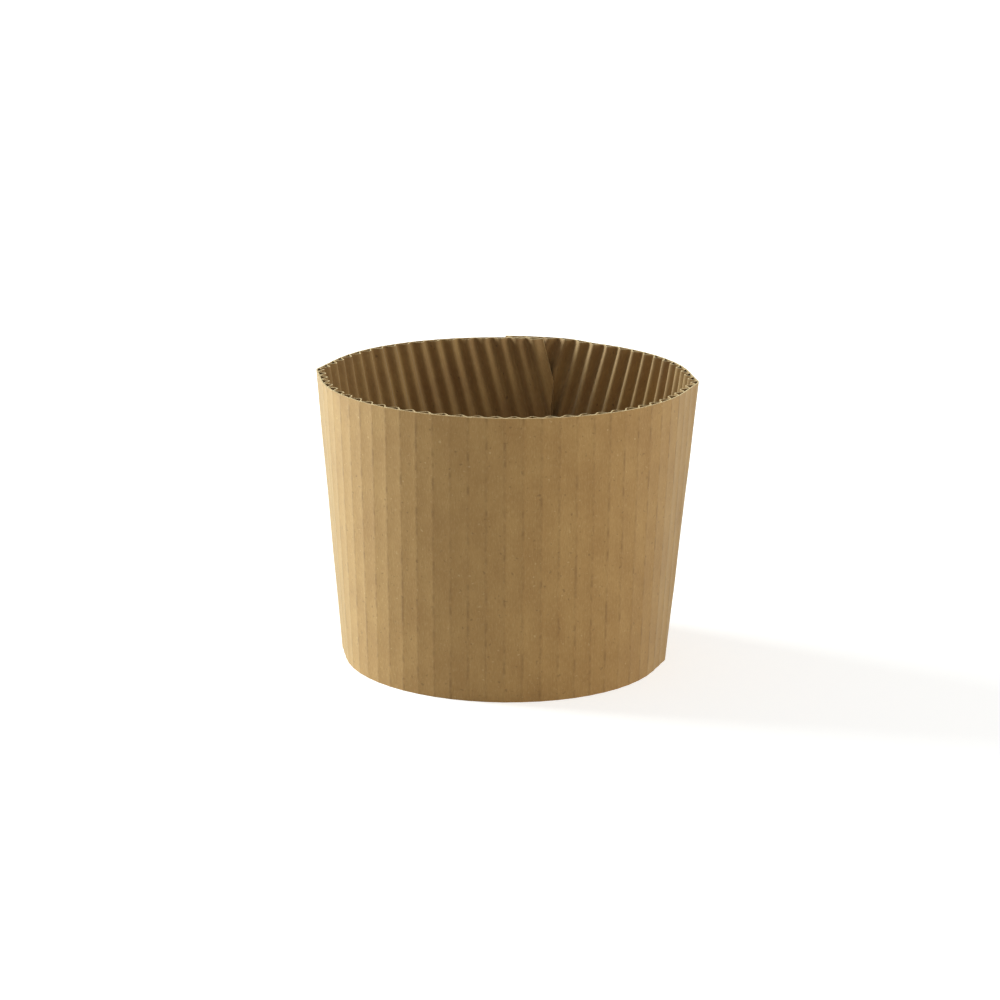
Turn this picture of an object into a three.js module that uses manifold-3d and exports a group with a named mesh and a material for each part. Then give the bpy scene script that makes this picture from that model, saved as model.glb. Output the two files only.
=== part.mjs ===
// Coffee cup sleeve: one band of single-face corrugated kraft board, sizes in millimetres.
//
// The board is a flat liner on the outside and a fluted medium on the inside, with open flutes
// at the upper and lower edge. The blank is a ring sector, cut with its flutes upright at the
// front. It wraps into a cone that widens upwards, with a fold at each side, and its ends lap
// and are glued at the middle of the back. The sleeve stands opened out, as it is in use.
//
// +Z is up, the front faces -Y and the folds lie on X. The origin is in the plane of the lower
// edge, midway between the front and the lap at the back.

import * as THREE from "three";
import { mergeVertices } from "three/addons/utils/BufferGeometryUtils.js";
import Module from "manifold-3d";

// The wrapped sleeve, measured on the outside
const height = 65.4;
const lowerDiameter = 72.9;
const upperDiameter = 84.4;
// How far a fold stands outside the round at the lower edge, and how tightly it is bent
const foldReach = 1.1;
const foldRadius = 3.2;

// The board
const boardThickness = 2;
const linerThickness = 0.3;
const mediumThickness = 0.25;
const flutePitch = 4;
const glueLineWidth = 0.5;
// The liner is drawn in a little between two glue lines, which gives the outside its fine ribs
const linerSag = 0.08;

// The lap at the back: the outer end steps up over the inner end and is glued down on it
const lapWidth = 13;
const stepLength = 8;
const stepClearance = 1.5;
const glueSink = 0.15;
// The upper corner of each end is taken off by at least this much
const cornerTrim = 0.5;

// How finely the curved forms are faceted
const wavePoints = 6;
const rowsPerFlute = 3;
const scoreTolerance = 0.02;
const weldTolerance = 0.001;
const bisections = 40;

const kraftColour = 0xa07c4c;

// Sizes that follow from the ones above
const lowerRadius = lowerDiameter / 2;
const upperRadius = upperDiameter / 2;
const slantHeight = Math.hypot(height, upperRadius - lowerRadius);
const blankLowerRadius = (lowerRadius * slantHeight) / (upperRadius - lowerRadius);
const blankUpperRadius = blankLowerRadius + slantHeight;
const waveDepth = (boardThickness - linerThickness - mediumThickness) / 2;
const waveTop = linerThickness + mediumThickness / 2;
const lapRise = boardThickness - glueSink;

// The outline of the wrapped sleeve at its lower edge, seen from above. It starts at the front
// and runs towards +X: a round, a tight bend at each fold, and a flat stretch on either side of
// a fold, where the board leaves the round.
const foldCentre = lowerRadius + foldReach - foldRadius;
const foldTilt = Math.acos((lowerRadius - foldRadius) / foldCentre);

function wrappedOutline() {
  const outline = new THREE.Path();
  outline.absarc(0, 0, lowerRadius, -Math.PI / 2, -foldTilt);
  outline.absarc(foldCentre, 0, foldRadius, -foldTilt, foldTilt);
  outline.absarc(0, 0, lowerRadius, foldTilt, Math.PI - foldTilt);
  outline.absarc(-foldCentre, 0, foldRadius, Math.PI - foldTilt, Math.PI + foldTilt);
  outline.absarc(0, 0, lowerRadius, Math.PI + foldTilt, 1.5 * Math.PI);
  return outline;
}

const outline = wrappedOutline();
const girth = outline.getLength();
// The angle that one full turn of the sleeve takes up in the flat blank
const turnAngle = girth / blankLowerRadius;

// The blank is symmetric about the front, and its ends lie half a lap past the back. Lengths
// round the sleeve are given in turns: 0 at the front, 0.25 at the fold on +X, 0.5 at the back.
const lapTurn = lapWidth / girth;
const endTurn = 0.5 + lapTurn / 2;
const endAngle = endTurn * turnAngle;
const foldHalfTurn = (foldRadius * foldTilt) / girth;
const stepEndTurn = 1 - endTurn - stepClearance / girth;
const stepStartTurn = stepEndTurn - stepLength / girth;

// Half the blank's width at its lower and at its upper corners
const lowerHalfWidth = blankLowerRadius * Math.sin(endAngle);
const upperHalfWidth = blankUpperRadius * Math.sin(endAngle) - cornerTrim;

// A whole number of flutes lies between the lower corners, and a few more beyond each of them.
// Glue lines are numbered from 0 at the lower corner on -X.
const flutesBetweenCorners = Math.round((2 * lowerHalfWidth) / flutePitch);
const fittedPitch = (2 * lowerHalfWidth) / flutesBetweenCorners;
const flutesBeyondCorner = Math.floor((upperHalfWidth - lowerHalfWidth) / fittedPitch);
const firstLine = -flutesBeyondCorner;
const frontLine = Math.round(flutesBetweenCorners / 2);
const lastLine = flutesBetweenCorners + flutesBeyondCorner;

// The distance of a glue line, or of a place between two of them, from the blank's middle
function alongAt(line) {
  return line * fittedPitch - lowerHalfWidth;
}

// A point on one face of the fluted medium, as (outwards, along the board). The phase is 0 at
// the glue line and 0.5 where the flute stands furthest in. The side is 1 on the face towards
// the liner and -1 on the face that lines the inside of the sleeve.
function mediumPoint(line, phase, side) {
  const wave = 2 * Math.PI * phase;
  const slope = ((2 * Math.PI * waveDepth) / fittedPitch) * Math.sin(wave);
  const offset = (side * mediumThickness) / 2 / Math.hypot(1, slope);
  const depth = waveTop + waveDepth * (1 - Math.cos(wave));
  return new THREE.Vector2(offset - depth, alongAt(line + phase) + offset * slope);
}

// The open channel between the liner and one flute
function channelSection(line) {
  const start = alongAt(line) + glueLineWidth / 2;
  const end = alongAt(line + 1) - glueLineWidth / 2;
  const channel = new THREE.Path();
  channel.moveTo(-linerThickness, start);
  for (let point = 2; point <= wavePoints - 2; point++) {
    const { x, y } = mediumPoint(line, point / wavePoints, 1);
    channel.lineTo(x, y);
  }
  channel.lineTo(-linerThickness, end);
  channel.closePath();
  return channel;
}

// The board's section across one flute, from its glue line to the next
function fluteSection(line) {
  const section = new THREE.Shape();
  section.moveTo(0, alongAt(line));
  section.lineTo(-linerSag, alongAt(line + 0.5));
  section.lineTo(0, alongAt(line + 1));
  for (let point = wavePoints; point >= 0; point--) {
    const { x, y } = mediumPoint(line, point / wavePoints, -1);
    section.lineTo(x, y);
  }
  section.closePath();
  section.holes.push(channelSection(line));
  return section;
}

// Where the flute line that lies this far from the blank's middle starts and ends. It starts at
// the lower arc, or at the cut end of the blank, and runs to the upper arc.
function fluteEnds(along) {
  const lowerArc = Math.sqrt(Math.max(blankLowerRadius ** 2 - along ** 2, 0));
  const endCut = Math.abs(along) / Math.tan(endAngle);
  return { start: Math.max(lowerArc, endCut), end: Math.sqrt(blankUpperRadius ** 2 - along ** 2) };
}

// A corner of the board is (outwards, along the board, share of the flute's length). This gives
// its place in the blank: the turn round the sleeve and the level from 0 below to 1 above.
function blankPlace(corner) {
  const { start, end } = fluteEnds(corner.y);
  const reach = start + (end - start) * corner.z;
  const turn = Math.atan2(corner.y, reach) / turnAngle;
  const level = (Math.hypot(corner.y, reach) - blankLowerRadius) / slantHeight;
  return { turn, level };
}

// How far the outer end is lifted to lie on the inner end
function liftAt(turn) {
  return lapRise * THREE.MathUtils.clamp((turn - stepStartTurn) / (stepEndTurn - stepStartTurn), 0, 1);
}

// The place of a corner once the board is wrapped
function wrapCorner(corner) {
  const { turn, level } = blankPlace(corner);
  const share = turn - Math.floor(turn);
  const point = outline.getPoint(share);
  const tangent = outline.getTangent(share);
  const growth = THREE.MathUtils.lerp(1, upperRadius / lowerRadius, level);
  const outwards = corner.x + liftAt(turn);
  return new THREE.Vector3(
    point.x * growth + tangent.y * outwards,
    point.y * growth - tangent.x * outwards,
    roundToMicron(level * height),
  );
}

function roundToMicron(length) {
  return Math.round(length * 1000) / 1000;
}

// The place on the edge from one corner to another at which the distance is zero
function crossing(from, to, distance) {
  const startSide = Math.sign(distance(from));
  let near = 0;
  let far = 1;
  for (let step = 0; step < bisections; step++) {
    const middle = (near + far) / 2;
    if (Math.sign(distance(from.clone().lerp(to, middle))) === startSide) near = middle;
    else far = middle;
  }
  return from.clone().lerp(to, (near + far) / 2);
}

// Scores the board along the line on which the distance is zero: every edge that crosses the
// line gets a corner there, and its triangles are parted, so that the board can bend sharply.
function scoreAlong(board, distance) {
  const corners = [...board.corners];
  const sides = corners.map((corner) => {
    const gap = distance(corner);
    return Math.abs(gap) < scoreTolerance ? 0 : Math.sign(gap);
  });
  const cuts = new Map();
  const cutEdge = (from, to) => {
    const low = Math.min(from, to);
    const high = Math.max(from, to);
    const key = `${low} ${high}`;
    if (!cuts.has(key)) {
      cuts.set(key, corners.length);
      corners.push(crossing(corners[low], corners[high], distance));
    }
    return cuts.get(key);
  };
  const triangles = [];
  for (const triangle of board.triangles) {
    const parts = { above: [], below: [] };
    triangle.forEach((corner, index) => {
      const next = triangle[(index + 1) % 3];
      if (sides[corner] >= 0) parts.above.push(corner);
      if (sides[corner] <= 0) parts.below.push(corner);
      if (sides[corner] * sides[next] < 0) {
        const cut = cutEdge(corner, next);
        parts.above.push(cut);
        parts.below.push(cut);
      }
    });
    for (const part of Object.values(parts)) {
      for (let index = 2; index < part.length; index++) {
        triangles.push([part[0], part[index - 1], part[index]]);
      }
    }
  }
  return { corners, triangles };
}

// One flute of the board as a list of triangles, each three corners
function fluteTriangles(line) {
  const extruded = new THREE.ExtrudeGeometry(fluteSection(line), {
    depth: 1,
    steps: rowsPerFlute,
    bevelEnabled: false,
  });
  const places = extruded.getAttribute("position");
  const triangles = [];
  for (let index = 0; index < places.count; index += 3) {
    triangles.push([0, 1, 2].map((step) => new THREE.Vector3().fromBufferAttribute(places, index + step)));
  }
  return triangles;
}

function liesOnLine(triangle, line) {
  return triangle.every((corner) => Math.abs(corner.y - alongAt(line)) < weldTolerance);
}

// The flat board between two glue lines: flutes side by side, without the faces between them
function flatBoard(fromLine, toLine) {
  const soup = [];
  for (let line = fromLine; line < toLine; line++) {
    const isInside = (triangle) =>
      (line > fromLine && liesOnLine(triangle, line)) ||
      (line + 1 < toLine && liesOnLine(triangle, line + 1));
    soup.push(...fluteTriangles(line).filter((triangle) => !isInside(triangle)));
  }
  const geometry = new THREE.BufferGeometry().setFromPoints(soup.flat());
  const welded = mergeVertices(geometry, weldTolerance);
  const places = welded.getAttribute("position");
  const corners = [];
  for (let index = 0; index < places.count; index++) {
    corners.push(new THREE.Vector3().fromBufferAttribute(places, index));
  }
  const triangles = [];
  for (let index = 0; index < welded.index.count; index += 3) {
    triangles.push([0, 1, 2].map((step) => welded.index.getX(index + step)));
  }
  return { corners, triangles };
}

// Every line along which the board bends
function scoreLines() {
  const turns = [
    0.25 - foldHalfTurn,
    0.25 + foldHalfTurn,
    -0.25 - foldHalfTurn,
    -0.25 + foldHalfTurn,
    stepStartTurn,
    stepEndTurn,
  ];
  return turns.map((turn) => (corner) => (blankPlace(corner).turn - turn) * girth);
}

// One side of the sleeve as a closed solid
function wrappedSide(wasm, fromLine, toLine) {
  const board = scoreLines().reduce(scoreAlong, flatBoard(fromLine, toLine));
  const places = board.corners.map(wrapCorner);
  return new wasm.Manifold(
    new wasm.Mesh({
      numProp: 3,
      vertProperties: new Float32Array(places.flatMap((place) => place.toArray())),
      triVerts: new Uint32Array(board.triangles.flat()),
    }),
  );
}

// Both sides joined: they meet along the glue line at the front and are glued in the lap
async function sleeveGeometry() {
  const wasm = await Module();
  wasm.setup();
  const innerSide = wrappedSide(wasm, firstLine, frontLine);
  const outerSide = wrappedSide(wasm, frontLine, lastLine);
  const mesh = outerSide.add(innerSide).getMesh();
  const geometry = new THREE.BufferGeometry();
  geometry.setAttribute("position", new THREE.BufferAttribute(mesh.vertProperties, 3));
  geometry.setIndex(new THREE.BufferAttribute(mesh.triVerts, 1));
  return geometry;
}

const kraftBoard = new THREE.MeshStandardMaterial({
  color: kraftColour,
  roughness: 0.9,
  metalness: 0,
  flatShading: true,
});

const sleeve = new THREE.Mesh(await sleeveGeometry(), kraftBoard);
sleeve.name = "sleeve";
sleeve.position.y = -lapRise / 2;

const group = new THREE.Group();
group.add(sleeve);

export default group;
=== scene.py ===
"""Coffee cup sleeve of single-face corrugated kraft board, standing on a pale studio floor.

The board is made flat, flute by flute, and then wrapped onto the creased cone that the sleeve
opens out to in use: liner outside, fluted medium inside, a fold at each side, a glued lap behind.
"""
import math

import bmesh
import bpy
from mathutils import Matrix, Vector, noise


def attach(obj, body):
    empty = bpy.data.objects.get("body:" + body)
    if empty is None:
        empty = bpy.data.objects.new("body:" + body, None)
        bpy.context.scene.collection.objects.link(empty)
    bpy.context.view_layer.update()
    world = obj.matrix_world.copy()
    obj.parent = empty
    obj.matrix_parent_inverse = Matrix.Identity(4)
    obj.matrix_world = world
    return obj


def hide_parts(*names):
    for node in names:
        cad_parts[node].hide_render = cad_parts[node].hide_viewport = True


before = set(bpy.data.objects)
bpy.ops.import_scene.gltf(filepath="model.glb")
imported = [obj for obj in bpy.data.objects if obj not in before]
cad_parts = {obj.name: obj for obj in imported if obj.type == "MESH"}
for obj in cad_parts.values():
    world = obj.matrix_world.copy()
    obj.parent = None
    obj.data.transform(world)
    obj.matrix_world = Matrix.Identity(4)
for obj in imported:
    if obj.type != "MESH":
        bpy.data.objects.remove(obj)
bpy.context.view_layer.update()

MM = 0.001

# The wrapped sleeve, measured on the outside, in millimetres
HEIGHT = 65.4
LOWER_RADIUS = 72.9 / 2
UPPER_RADIUS = 84.4 / 2
FOLD_REACH = 1.1
FOLD_RADIUS = 3.2

# The board, in millimetres
BOARD_THICKNESS = 2.0
LINER_THICKNESS = 0.3
MEDIUM_THICKNESS = 0.25
NOMINAL_PITCH = 4.0
GLUE_LINE_WIDTH = 0.5
LINER_SAG = 0.08

# The lap at the back, in millimetres
LAP_WIDTH = 13.0
STEP_LENGTH = 8.0
STEP_CLEARANCE = 1.5
GLUE_SINK = 0.1
CORNER_TRIM = 0.5

# How unevenly the board lies, and how far apart its swells are along it and up it, in millimetres
SWELL_DEPTH = 0.07
SWELL_LENGTH = 6.0
SWELL_HEIGHT = 15.0
# How far from a fold its crease is scuffed, in millimetres
SCUFF_REACH = 1.3

# How finely one flute is meshed: faces across the liner, across the medium, and up the flute
LINER_FACES = 8
MEDIUM_FACES = 16
FLUTE_ROWS = 20
# Corners of neighbouring flutes that lie this close, in millimetres, become one
WELD_DISTANCE = 0.01
# Edges that turn by more than this, in degrees, look sharp
SHARP_ANGLE = 35.0

# The camera, in the sleeve's own frame: place in millimetres, angles in degrees
CAMERA_PLACE = (67.689, -681.571, 217.735)
CAMERA_HEADING = -5.774
CAMERA_PITCH = 14.853
CAMERA_ROLL = 0.700
CAMERA_LENS = 111.789
SENSOR_WIDTH = 36.0

# The papers' sheen, which is the same on all of them
FUZZ_SHEEN = 0.6
FUZZ_ROUGHNESS = 0.35
FUZZ_TINT = "#fff4cf"

# The studio, in metres. The floor's own white rises between two distances from the sleeve.
FLOOR_REACH = 3.0
FLOOR_NEAR = 0.15
FLOOR_FAR = 0.6
FLOOR_WHITE_NEAR = 0.52
FLOOR_WHITE_FAR = 0.9
SURROUNDING_LIGHT = 0.37
SOFTBOX_SIZE = 0.5
SOFTBOX_DISTANCE = 0.9
SOFTBOX_HEIGHT = 0.35

# Values that follow from the ones above
SLANT = math.hypot(HEIGHT, UPPER_RADIUS - LOWER_RADIUS)
BLANK_LOWER = LOWER_RADIUS * SLANT / (UPPER_RADIUS - LOWER_RADIUS)
BLANK_UPPER = BLANK_LOWER + SLANT
FOLD_CENTRE = LOWER_RADIUS + FOLD_REACH - FOLD_RADIUS
FOLD_TILT = math.acos((LOWER_RADIUS - FOLD_RADIUS) / FOLD_CENTRE)
ROUND_LENGTH = LOWER_RADIUS * (math.pi / 2 - FOLD_TILT)
FLAT_LENGTH = FOLD_CENTRE * math.sin(FOLD_TILT)
BEND_LENGTH = FOLD_RADIUS * FOLD_TILT
GIRTH = 4 * (ROUND_LENGTH + FLAT_LENGTH + BEND_LENGTH)
TURN_ANGLE = GIRTH / BLANK_LOWER
END_TURN = 0.5 + LAP_WIDTH / GIRTH / 2
END_ANGLE = END_TURN * TURN_ANGLE
STEP_END = 1 - END_TURN - STEP_CLEARANCE / GIRTH
STEP_START = STEP_END - STEP_LENGTH / GIRTH
LAP_RISE = BOARD_THICKNESS - GLUE_SINK
LOWER_HALF_WIDTH = BLANK_LOWER * math.sin(END_ANGLE)
UPPER_HALF_WIDTH = BLANK_UPPER * math.sin(END_ANGLE) - CORNER_TRIM
FLUTES_BETWEEN = round(2 * LOWER_HALF_WIDTH / NOMINAL_PITCH)
PITCH = 2 * LOWER_HALF_WIDTH / FLUTES_BETWEEN
FLUTES_BEYOND = math.floor((UPPER_HALF_WIDTH - LOWER_HALF_WIDTH) / PITCH)
FLUTES = FLUTES_BETWEEN + 2 * FLUTES_BEYOND
FIRST_LINE = -FLUTES_BEYOND * PITCH - LOWER_HALF_WIDTH
WAVE_DEPTH = (BOARD_THICKNESS - LINER_THICKNESS - MEDIUM_THICKNESS) / 2
WAVE_TOP = LINER_THICKNESS + MEDIUM_THICKNESS / 2
# The part's own frame puts its origin midway between the front and the lap
CAD_LAP_RISE = 1.85
FRAME_SHIFT = -CAD_LAP_RISE / 2

# Which finish a face takes
LINER_FINISH, MEDIUM_FINISH, EDGE_FINISH = 0, 1, 2

# Sockets that share a name with others of their node, by their number
COMPARED_WHOLE, WHOLE_TO_MATCH = 2, 3
LOWER_COLOUR, UPPER_COLOUR, MIXED_COLOUR = 6, 7, 2


def linear(hex_colour):
    """An sRGB hex colour as the linear colour that a shader takes."""
    channels = [int(hex_colour[i:i + 2], 16) / 255 for i in (1, 3, 5)]
    straight = [c / 12.92 if c <= 0.04045 else ((c + 0.055) / 1.055) ** 2.4 for c in channels]
    return (*straight, 1.0)


def add(tree, kind, settings=None, links=None):
    """Adds a node, sets its properties and plain inputs, and links other inputs to sockets."""
    node = tree.nodes.new(kind)
    for name, value in (settings or {}).items():
        if isinstance(name, str) and hasattr(node, name):
            setattr(node, name, value)
        else:
            node.inputs[name].default_value = value
    for name, source in (links or {}).items():
        tree.links.new(source, node.inputs[name])
    return node


# The flat board


def medium_point(phase, side):
    """(along, outwards) on one face of the medium: side 1 faces the liner, -1 the inside."""
    wave = 2 * math.pi * phase
    slope = 2 * math.pi * WAVE_DEPTH / PITCH * math.sin(wave)
    offset = side * MEDIUM_THICKNESS / 2 / math.hypot(1, slope)
    depth = WAVE_TOP + WAVE_DEPTH * (1 - math.cos(wave))
    return phase * PITCH + offset * slope, offset - depth


def liner_sag(along):
    """How far the liner is drawn in at this place between two glue lines."""
    share = along / PITCH
    return 4 * LINER_SAG * share * (1 - share)


def flute_section():
    """The four lines of one flute's section: liner outside and inside, medium outside and inside."""
    glue = GLUE_LINE_WIDTH / 2
    inner = [glue + (PITCH - 2 * glue) * i / LINER_FACES for i in range(LINER_FACES + 1)]
    liner_outside = [(x, -liner_sag(x)) for x in (0.0, *inner, PITCH)]
    liner_inside = [(x, -LINER_THICKNESS - liner_sag(x)) for x in inner]
    liner_inside[0] = (inner[0], -LINER_THICKNESS)
    liner_inside[-1] = (inner[-1], -LINER_THICKNESS)
    edge = glue / PITCH
    phases = [edge + (1 - 2 * edge) * i / MEDIUM_FACES for i in range(MEDIUM_FACES + 1)]
    medium_outside = [liner_inside[0]]
    medium_outside += [medium_point(phase, 1) for phase in phases[1:-1]]
    medium_outside += [liner_inside[-1]]
    medium_inside = [medium_point(phase, -1) for phase in (0.0, *phases, 1.0)]
    return liner_outside, liner_inside, medium_outside, medium_inside


def flute_mesh():
    """One flute as a mesh that is open only where it meets its neighbours."""
    liner_outside, liner_inside, medium_outside, medium_inside = flute_section()
    bm = bmesh.new()
    finish = bm.faces.layers.int.new("finish")

    heights = [HEIGHT * MM * row / FLUTE_ROWS for row in range(FLUTE_ROWS + 1)]

    def columns(line):
        return [[bm.verts.new((x * MM, y * MM, z)) for z in heights] for x, y in line]

    outside = columns(liner_outside)
    roof = columns(liner_inside)
    floor = [roof[0], *columns(medium_outside[1:-1]), roof[-1]]
    inside = columns(medium_inside)

    def wall(line, kind, outwards):
        for left, right in zip(line, line[1:]):
            for row in range(FLUTE_ROWS):
                ring = [left[row], right[row], right[row + 1], left[row + 1]]
                face = bm.faces.new(ring if outwards else ring[::-1])
                face[finish] = kind

    wall(outside, LINER_FINISH, False)
    wall(roof, MEDIUM_FINISH, True)
    wall(floor, MEDIUM_FINISH, False)
    wall(inside, MEDIUM_FINISH, True)

    for row in (0, FLUTE_ROWS):
        rings = []
        for i in range(LINER_FACES):
            rings.append([outside[i + 1], outside[i + 2], roof[i + 1], roof[i]])
        for i in range(MEDIUM_FACES):
            rings.append([floor[i], floor[i + 1], inside[i + 2], inside[i + 1]])
        rings.append([outside[0], outside[1], roof[0], inside[1], inside[0]])
        rings.append([outside[-2], outside[-1], inside[-1], inside[-2], roof[-1]])
        for ring in rings:
            corners = [column[row] for column in ring]
            face = bm.faces.new(corners if row else corners[::-1])
            face[finish] = EDGE_FINISH
    mesh = bpy.data.meshes.new("flute")
    bm.to_mesh(mesh)
    bm.free()
    return mesh


def flute_row_tree(materials):
    """Geometry Nodes that set flutes side by side and give each face its finish."""
    tree = bpy.data.node_groups.new("flute row", "GeometryNodeTree")
    sockets = tree.interface
    sockets.new_socket("Flute", in_out="INPUT", socket_type="NodeSocketGeometry")
    sockets.new_socket("Flutes", in_out="INPUT", socket_type="NodeSocketInt")
    for name in ("Pitch", "First line", "Weld distance"):
        sockets.new_socket(name, in_out="INPUT", socket_type="NodeSocketFloat")
    sockets.new_socket("Board", in_out="OUTPUT", socket_type="NodeSocketGeometry")
    given = add(tree, "NodeGroupInput").outputs
    start = add(tree, "ShaderNodeCombineXYZ", links={"X": given["First line"]})
    step = add(tree, "ShaderNodeCombineXYZ", links={"X": given["Pitch"]})
    row = add(tree, "GeometryNodeMeshLine", {"mode": "OFFSET"}, {
        "Count": given["Flutes"], "Start Location": start.outputs[0], "Offset": step.outputs[0]})
    placed = add(tree, "GeometryNodeInstanceOnPoints", links={
        "Points": row.outputs[0], "Instance": given["Flute"]})
    real = add(tree, "GeometryNodeRealizeInstances", links={"Geometry": placed.outputs[0]})
    welded = add(tree, "GeometryNodeMergeByDistance", links={
        "Geometry": real.outputs[0], "Distance": given["Weld distance"]})
    result = welded.outputs[0]
    finish = add(tree, "GeometryNodeInputNamedAttribute", {"data_type": "INT", "Name": "finish"})
    for kind, material in enumerate(materials):
        chosen = add(tree, "FunctionNodeCompare", {
            "data_type": "INT", "operation": "EQUAL", WHOLE_TO_MATCH: kind}, {
            COMPARED_WHOLE: finish.outputs["Attribute"]})
        dressed = add(tree, "GeometryNodeSetMaterial", {"Material": material}, {
            "Geometry": result, "Selection": chosen.outputs[0]})
        result = dressed.outputs[0]
    add(tree, "NodeGroupOutput", links={"Board": result})
    return tree


def flat_board(materials):
    """The whole board, flat, as one plain mesh."""
    flute = bpy.data.objects.new("flute", flute_mesh())
    bpy.context.collection.objects.link(flute)
    tree = flute_row_tree(materials)
    row = flute.modifiers.new("flute row", "NODES")
    row.node_group = tree
    sizes = {"Flutes": FLUTES, "Pitch": PITCH * MM, "First line": FIRST_LINE * MM,
             "Weld distance": WELD_DISTANCE * MM}
    for name, size in sizes.items():
        row[tree.interface.items_tree[name].identifier] = size
    graph = bpy.context.evaluated_depsgraph_get()
    board = bpy.data.meshes.new_from_object(flute.evaluated_get(graph), depsgraph=graph)
    flute.modifiers.remove(row)
    bpy.data.objects.remove(flute)
    # Set Material leaves an empty slot before its own
    board.materials.pop(index=0)
    return board


# Wrapping the board


def flute_ends(along):
    """Where the flute line at this distance from the blank's middle starts and ends."""
    lower_arc = math.sqrt(max(BLANK_LOWER ** 2 - along ** 2, 0.0))
    end_cut = abs(along) / math.tan(END_ANGLE)
    return max(lower_arc, end_cut), math.sqrt(BLANK_UPPER ** 2 - along ** 2)


def outline_place(turn):
    """The point and the outward direction on the lower edge's outline, seen from above."""
    share = turn % 1.0
    half = share if share <= 0.5 else 1.0 - share
    from_middle = GIRTH * min(half, 0.5 - half)
    if from_middle <= ROUND_LENGTH:
        angle = from_middle / LOWER_RADIUS
        outward = Vector((math.sin(angle), math.cos(angle)))
        point = outward * LOWER_RADIUS
    elif from_middle <= ROUND_LENGTH + FLAT_LENGTH:
        outward = Vector((math.cos(FOLD_TILT), math.sin(FOLD_TILT)))
        forward = Vector((math.sin(FOLD_TILT), -math.cos(FOLD_TILT)))
        point = outward * LOWER_RADIUS + forward * (from_middle - ROUND_LENGTH)
    else:
        angle = FOLD_TILT - (from_middle - ROUND_LENGTH - FLAT_LENGTH) / FOLD_RADIUS
        outward = Vector((math.cos(angle), math.sin(angle)))
        point = Vector((FOLD_CENTRE, 0.0)) + outward * FOLD_RADIUS
    side = 1.0 if share <= 0.5 else -1.0
    front = -1.0 if half <= 0.25 else 1.0
    flip = Vector((side, front))
    return point * flip, outward * flip


def lift(turn):
    """How far the outer end is lifted to lie on the inner end."""
    share = min(max((turn - STEP_START) / (STEP_END - STEP_START), 0.0), 1.0)
    return LAP_RISE * share * share * (3 - 2 * share)


def swell(along, up):
    """How far the board stands out here, 0 at the most, because it lies a little unevenly."""
    place = Vector((along / SWELL_LENGTH, up / SWELL_HEIGHT, 0.0))
    return SWELL_DEPTH * (noise.noise(place) - 1) / 2


def wrapped(corner):
    """A corner of the flat board: its place on the sleeve, its place in the blank, and how near
    it lies to a fold, from 0 to 1."""
    along, outwards, share = corner.x / MM, corner.y / MM, corner.z / (HEIGHT * MM)
    start, end = flute_ends(along)
    reach = start + (end - start) * share
    turn = math.atan2(along, reach) / TURN_ANGLE
    level = (math.hypot(along, reach) - BLANK_LOWER) / SLANT
    point, outward = outline_place(turn)
    growth = 1 + (UPPER_RADIUS / LOWER_RADIUS - 1) * level
    up = level * HEIGHT
    place = point * growth + outward * (outwards + lift(turn) + swell(along, up))
    from_fold = abs(abs(turn) - 0.25) * GIRTH * growth
    nearness = max(1 - from_fold / SCUFF_REACH, 0.0)
    return Vector((place.x, place.y + FRAME_SHIFT, up)) * MM, (along * MM, up * MM), nearness


def close_ends(bm):
    """Closes the board where its first and its last flute end."""
    finish = bm.faces.layers.int["finish"]
    rim = [edge for edge in bm.edges if edge.is_boundary]
    corners = {vertex for edge in rim for vertex in edge.verts}
    middle = sum(vertex.co.x for vertex in corners) / len(corners)
    for side in (-1, 1):
        ours = [vertex for vertex in corners if (vertex.co.x - middle) * side > 0]
        half = sum(vertex.co.y for vertex in ours) / len(ours)
        outer = sorted((v for v in ours if v.co.y > half), key=lambda v: v.co.z)
        inner = sorted((v for v in ours if v.co.y <= half), key=lambda v: v.co.z)
        for i in range(len(outer) - 1):
            ring = [outer[i], outer[i + 1], inner[i + 1], inner[i]]
            face = bm.faces.new(ring if side > 0 else ring[::-1])
            face[finish] = EDGE_FINISH
            face.material_index = EDGE_FINISH


def sleeve_piece(materials):
    """The sleeve as one closed mesh with a map of the flat board on it."""
    mesh = flat_board(materials)
    bm = bmesh.new()
    bm.from_mesh(mesh)
    close_ends(bm)
    board_map = bm.loops.layers.uv.new("board")
    scuff = bm.verts.layers.float.new("scuff")
    places = {vertex: wrapped(vertex.co) for vertex in bm.verts}
    for vertex, (place, _, nearness) in places.items():
        vertex.co = place
        vertex[scuff] = nearness
    for face in bm.faces:
        face.smooth = True
        for loop in face.loops:
            loop[board_map].uv = places[loop.vert][1]
    bmesh.ops.recalc_face_normals(bm, faces=bm.faces)
    if bm.calc_volume(signed=True) < 0:
        bmesh.ops.reverse_faces(bm, faces=bm.faces)
    bm.to_mesh(mesh)
    bm.free()
    mesh.name = "sleeve_board"
    mesh.set_sharp_from_angle(angle=math.radians(SHARP_ANGLE))
    piece = bpy.data.objects.new("sleeve_board", mesh)
    bpy.context.collection.objects.link(piece)
    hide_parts("sleeve")
    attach(piece, "root")


# Finishes


def in_millimetres(tree, metres):
    """The same place, with its coordinates in millimetres."""
    scaled = add(tree, "ShaderNodeVectorMath", {"operation": "SCALE", "Scale": 1 / MM}, {0: metres})
    return scaled.outputs[0]


def board_coordinates(tree):
    """The place on the flat board in millimetres: along it, and up it."""
    board = add(tree, "ShaderNodeUVMap", {"uv_map": "board"})
    return in_millimetres(tree, board.outputs[0])


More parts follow.
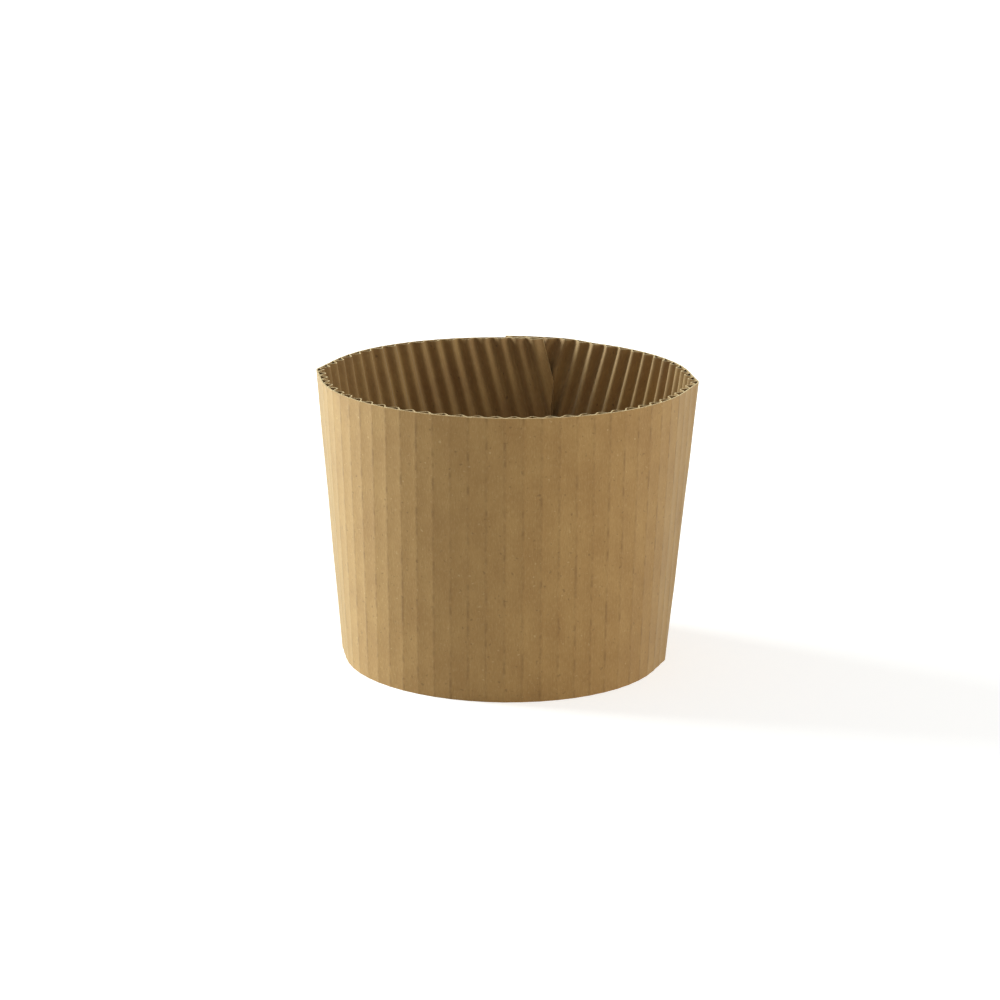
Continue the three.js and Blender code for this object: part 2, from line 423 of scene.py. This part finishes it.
def stretched_noise(tree, coordinates, width, length, detail=2.0, offset=0.0):
    """Noise whose grains are this wide along the board and this long up it, in millimetres."""
    fitted = add(tree, "ShaderNodeMapping", {
        "Location": (offset, offset, offset), "Scale": (1 / width, 1 / length, 1.0)},
        {"Vector": coordinates})
    grains = add(tree, "ShaderNodeTexNoise", {"Scale": 1.0, "Detail": detail, "Roughness": 0.6},
                 {"Vector": fitted.outputs[0]})
    return grains.outputs["Fac"]


def between(tree, value, low, high, start=0.0, end=1.0):
    """The value brought from one range to another, held at its ends."""
    node = add(tree, "ShaderNodeMapRange", {
        "From Min": low, "From Max": high, "To Min": start, "To Max": end}, {"Value": value})
    return node.outputs[0]


def product(tree, one, other):
    return add(tree, "ShaderNodeMath", {"operation": "MULTIPLY"}, {0: one, 1: other}).outputs[0]


def tinted(tree, below, colour, amount):
    """A colour laid over what is below it, a colour or a socket, by this amount."""
    settings, links = {"data_type": "RGBA", UPPER_COLOUR: linear(colour)}, {"Factor": amount}
    if isinstance(below, str):
        settings[LOWER_COLOUR] = linear(below)
    else:
        links[LOWER_COLOUR] = below
    return add(tree, "ShaderNodeMix", settings, links).outputs[MIXED_COLOUR]


def paper_shader(tree, colour, height, roughness, depth):
    """A matt paper surface with this colour, and bumps of this depth in millimetres. Its fuzz of
    loose fibre ends makes it paler where it turns away."""
    bump = add(tree, "ShaderNodeBump", {"Strength": 1.0, "Distance": depth * MM}, {"Height": height})
    shader = add(tree, "ShaderNodeBsdfPrincipled", {
        "Roughness": roughness, "Sheen Weight": FUZZ_SHEEN, "Sheen Roughness": FUZZ_ROUGHNESS,
        "Sheen Tint": linear(FUZZ_TINT)}, {"Base Color": colour, "Normal": bump.outputs[0]})
    add(tree, "ShaderNodeOutputMaterial", links={"Surface": shader.outputs[0]})


def new_material(name):
    """A material whose nodes are still to be made."""
    material = bpy.data.materials.new(name)
    material.use_nodes = True
    material.node_tree.nodes.clear()
    return material


def glue_line_mark(tree, coordinates, width):
    """1 on each glue line, falling softly to 0 over half this width in millimetres."""
    split = add(tree, "ShaderNodeSeparateXYZ", links={0: coordinates})
    shifted = add(tree, "ShaderNodeMath", {"operation": "SUBTRACT", 1: FIRST_LINE}, {0: split.outputs[0]})
    distance = add(tree, "ShaderNodeMath", {"operation": "PINGPONG", 1: PITCH / 2}, {0: shifted.outputs[0]})
    mark = add(tree, "ShaderNodeMapRange", {
        "interpolation_type": "SMOOTHSTEP", "From Min": 0.0, "From Max": width / 2, "To Min": 1.0,
        "To Max": 0.0}, {"Value": distance.outputs[0]})
    return mark.outputs[0]


def kraft_liner():
    """Unbleached kraft liner, machine-made: brown and a little cloudy, with short fibres, a few dark
    and pale flecks, and faint broken lines where the flutes are glued behind it. Its fibres are
    finer than a picture shows, so they are drawn about three times too coarse."""
    material = new_material("kraft liner")
    tree = material.node_tree
    place = board_coordinates(tree)
    cloud = stretched_noise(tree, place, 7.0, 11.0, 3.0)
    colour = tinted(tree, "#ad864d", "#9d753e", between(tree, cloud, 0.3, 0.7))
    fibre = stretched_noise(tree, place, 0.3, 1.1, 3.0, 23.0)
    colour = tinted(tree, colour, "#866336", between(tree, fibre, 0.52, 0.8, 0.0, 0.4))
    colour = tinted(tree, colour, "#c4a56e", between(tree, fibre, 0.48, 0.2, 0.0, 0.4))
    streak = stretched_noise(tree, place, 0.6, 12.0, 2.0, 11.0)
    colour = tinted(tree, colour, "#b99459", between(tree, streak, 0.5, 0.8, 0.0, 0.25))
    dark_fleck = stretched_noise(tree, place, 1.2, 1.1, 1.0, 37.0)
    colour = tinted(tree, colour, "#6f5029", between(tree, dark_fleck, 0.67, 0.76, 0.0, 0.5))
    pale_fleck = stretched_noise(tree, place, 1.1, 1.0, 1.0, 53.0)
    colour = tinted(tree, colour, "#d0b27c", between(tree, pale_fleck, 0.7, 0.8, 0.0, 0.45))
    dash = between(tree, stretched_noise(tree, place, 3.0, 3.2, 2.0, 71.0), 0.46, 0.64, 0.06, 0.6)
    colour = tinted(tree, colour, "#7c5a2c", product(tree, glue_line_mark(tree, place, 1.1), dash))
    scuff = add(tree, "ShaderNodeAttribute", {"attribute_name": "scuff"}).outputs["Fac"]
    rubbed = product(tree, scuff, between(tree, fibre, 0.7, 0.35, 0.05, 0.45))
    colour = tinted(tree, colour, "#c6a873", rubbed)
    paper_shader(tree, colour, fibre, 0.68, 0.02)
    return material


def fluted_medium():
    """Fluting paper of recovered fibre, pressed to a wave between hot rolls: duller and browner
    than the liner, with short fibres and dark specks."""
    material = new_material("fluted medium")
    tree = material.node_tree
    place = board_coordinates(tree)
    cloud = stretched_noise(tree, place, 6.0, 10.0, 3.0, 5.0)
    colour = tinted(tree, "#a1804c", "#8e6c3e", between(tree, cloud, 0.3, 0.7))
    fibre = stretched_noise(tree, place, 0.3, 1.2, 4.0, 31.0)
    colour = tinted(tree, colour, "#735330", between(tree, fibre, 0.52, 0.78, 0.0, 0.4))
    colour = tinted(tree, colour, "#c2a473", between(tree, fibre, 0.45, 0.2, 0.0, 0.35))
    speck = stretched_noise(tree, place, 0.8, 1.8, 1.0, 43.0)
    colour = tinted(tree, colour, "#573c20", between(tree, speck, 0.7, 0.77, 0.0, 0.5))
    paper_shader(tree, colour, fibre, 0.75, 0.03)
    return material


def cut_board():
    """The die-cut edge of the board: bare, slightly crushed fibre, paler than the faces."""
    material = new_material("cut board edge")
    tree = material.node_tree
    place = in_millimetres(tree, add(tree, "ShaderNodeTexCoord").outputs["Object"])
    grain = stretched_noise(tree, place, 0.3, 0.3, 3.0, 3.0)
    colour = tinted(tree, "#b8975f", "#7d5d36", between(tree, grain, 0.45, 0.75, 0.0, 0.7))
    paper_shader(tree, colour, grain, 0.85, 0.04)
    return material


# Studio


def seen_directly(tree):
    """1 for rays from the camera, or by way of gloss or glass, and 0 for the light on the object."""
    path = add(tree, "ShaderNodeLightPath")
    either = add(tree, "ShaderNodeMath", {"operation": "MAXIMUM"}, {
        0: path.outputs["Is Camera Ray"], 1: path.outputs["Is Glossy Ray"]})
    return add(tree, "ShaderNodeMath", {"operation": "MAXIMUM"}, {
        0: either.outputs[0], 1: path.outputs["Is Transmission Ray"]}).outputs[0]


def studio_floor():
    """A white sheet. Seen directly it is given enough white of its own to show as white, and more
    further out, where less light falls on it, and it still keeps the sleeve's soft shadow."""
    bm = bmesh.new()
    bmesh.ops.create_grid(bm, x_segments=1, y_segments=1, size=FLOOR_REACH)
    mesh = bpy.data.meshes.new("studio_floor")
    bm.to_mesh(mesh)
    bm.free()
    material = new_material("white studio sheet")
    tree = material.node_tree
    sheet = add(tree, "ShaderNodeBsdfDiffuse", {"Color": (0.8, 0.8, 0.8, 1.0)})
    place = add(tree, "ShaderNodeTexCoord")
    distance = add(tree, "ShaderNodeVectorMath", {"operation": "LENGTH"}, {0: place.outputs["Object"]})
    own_white = between(tree, distance.outputs["Value"], FLOOR_NEAR, FLOOR_FAR,
                        FLOOR_WHITE_NEAR, FLOOR_WHITE_FAR)
    white = add(tree, "ShaderNodeEmission", {"Color": (1.0, 1.0, 1.0, 1.0)}, {"Strength": own_white})
    both = add(tree, "ShaderNodeAddShader", links={0: sheet.outputs[0], 1: white.outputs[0]})
    mixed = add(tree, "ShaderNodeMixShader", links={
        0: seen_directly(tree), 1: sheet.outputs[0], 2: both.outputs[0]})
    add(tree, "ShaderNodeOutputMaterial", links={"Surface": mixed.outputs[0]})
    mesh.materials.append(material)
    floor = bpy.data.objects.new("studio_floor", mesh)
    bpy.context.collection.objects.link(floor)


def studio_world():
    """Even white surroundings: dim as light on the object, full white where seen directly."""
    world = bpy.data.worlds.new("studio")
    world.use_nodes = True
    tree = world.node_tree
    tree.nodes.clear()
    dim = add(tree, "ShaderNodeBackground", {
        "Color": (1.0, 1.0, 1.0, 1.0), "Strength": SURROUNDING_LIGHT})
    white = add(tree, "ShaderNodeBackground", {"Color": (1.0, 1.0, 1.0, 1.0), "Strength": 1.0})
    mixed = add(tree, "ShaderNodeMixShader", links={
        0: seen_directly(tree), 1: dim.outputs[0], 2: white.outputs[0]})
    add(tree, "ShaderNodeOutputWorld", links={"Surface": mixed.outputs[0]})
    bpy.context.scene.world = world


def softbox(name, bearing, power, colour=(1.0, 1.0, 1.0)):
    """A square soft lamp that faces the sleeve. Its bearing is in degrees from the front, and
    positive to the right."""
    lamp = bpy.data.lights.new(name, "AREA")
    lamp.shape = "SQUARE"
    lamp.size = SOFTBOX_SIZE
    lamp.energy = power
    lamp.color = colour
    holder = bpy.data.objects.new(name, lamp)
    around = math.radians(bearing)
    place = Vector((math.sin(around), -math.cos(around), 0.0)) * SOFTBOX_DISTANCE
    place.z = SOFTBOX_HEIGHT
    aim = Vector((0.0, 0.0, HEIGHT * MM / 2)) - place
    holder.matrix_world = Matrix.Translation(place) @ aim.to_track_quat("-Z", "Y").to_matrix().to_4x4()
    bpy.context.collection.objects.link(holder)


def studio_camera():
    """The camera where the photograph was taken from."""
    heading, pitch, roll = (math.radians(a) for a in (CAMERA_HEADING, CAMERA_PITCH, CAMERA_ROLL))
    forward = Vector((
        math.sin(heading) * math.cos(pitch), math.cos(heading) * math.cos(pitch), -math.sin(pitch)))
    level = Vector((math.cos(heading), -math.sin(heading), 0.0))
    upright = level.cross(forward)
    right = level * math.cos(roll) + upright * math.sin(roll)
    up = upright * math.cos(roll) - level * math.sin(roll)
    turn = Matrix((right, up, -forward)).transposed()
    camera = bpy.data.cameras.new("studio_camera")
    camera.sensor_width = SENSOR_WIDTH
    camera.lens = CAMERA_LENS
    camera.clip_start = 0.01
    holder = bpy.data.objects.new("studio_camera", camera)
    holder.matrix_world = Matrix.Translation(Vector(CAMERA_PLACE) * MM) @ turn.to_4x4()
    bpy.context.collection.objects.link(holder)
    bpy.context.scene.camera = holder


studio_camera()
studio_world()
studio_floor()
softbox("left_softbox", -105.0, 14.8, (0.91, 1.01, 1.0))
softbox("right_softbox", 82.0, 4.0, (1.0, 1.0, 0.92))
sleeve_piece([kraft_liner(), fluted_medium(), cut_board()])

bpy.context.scene.view_settings.view_transform = "Standard"
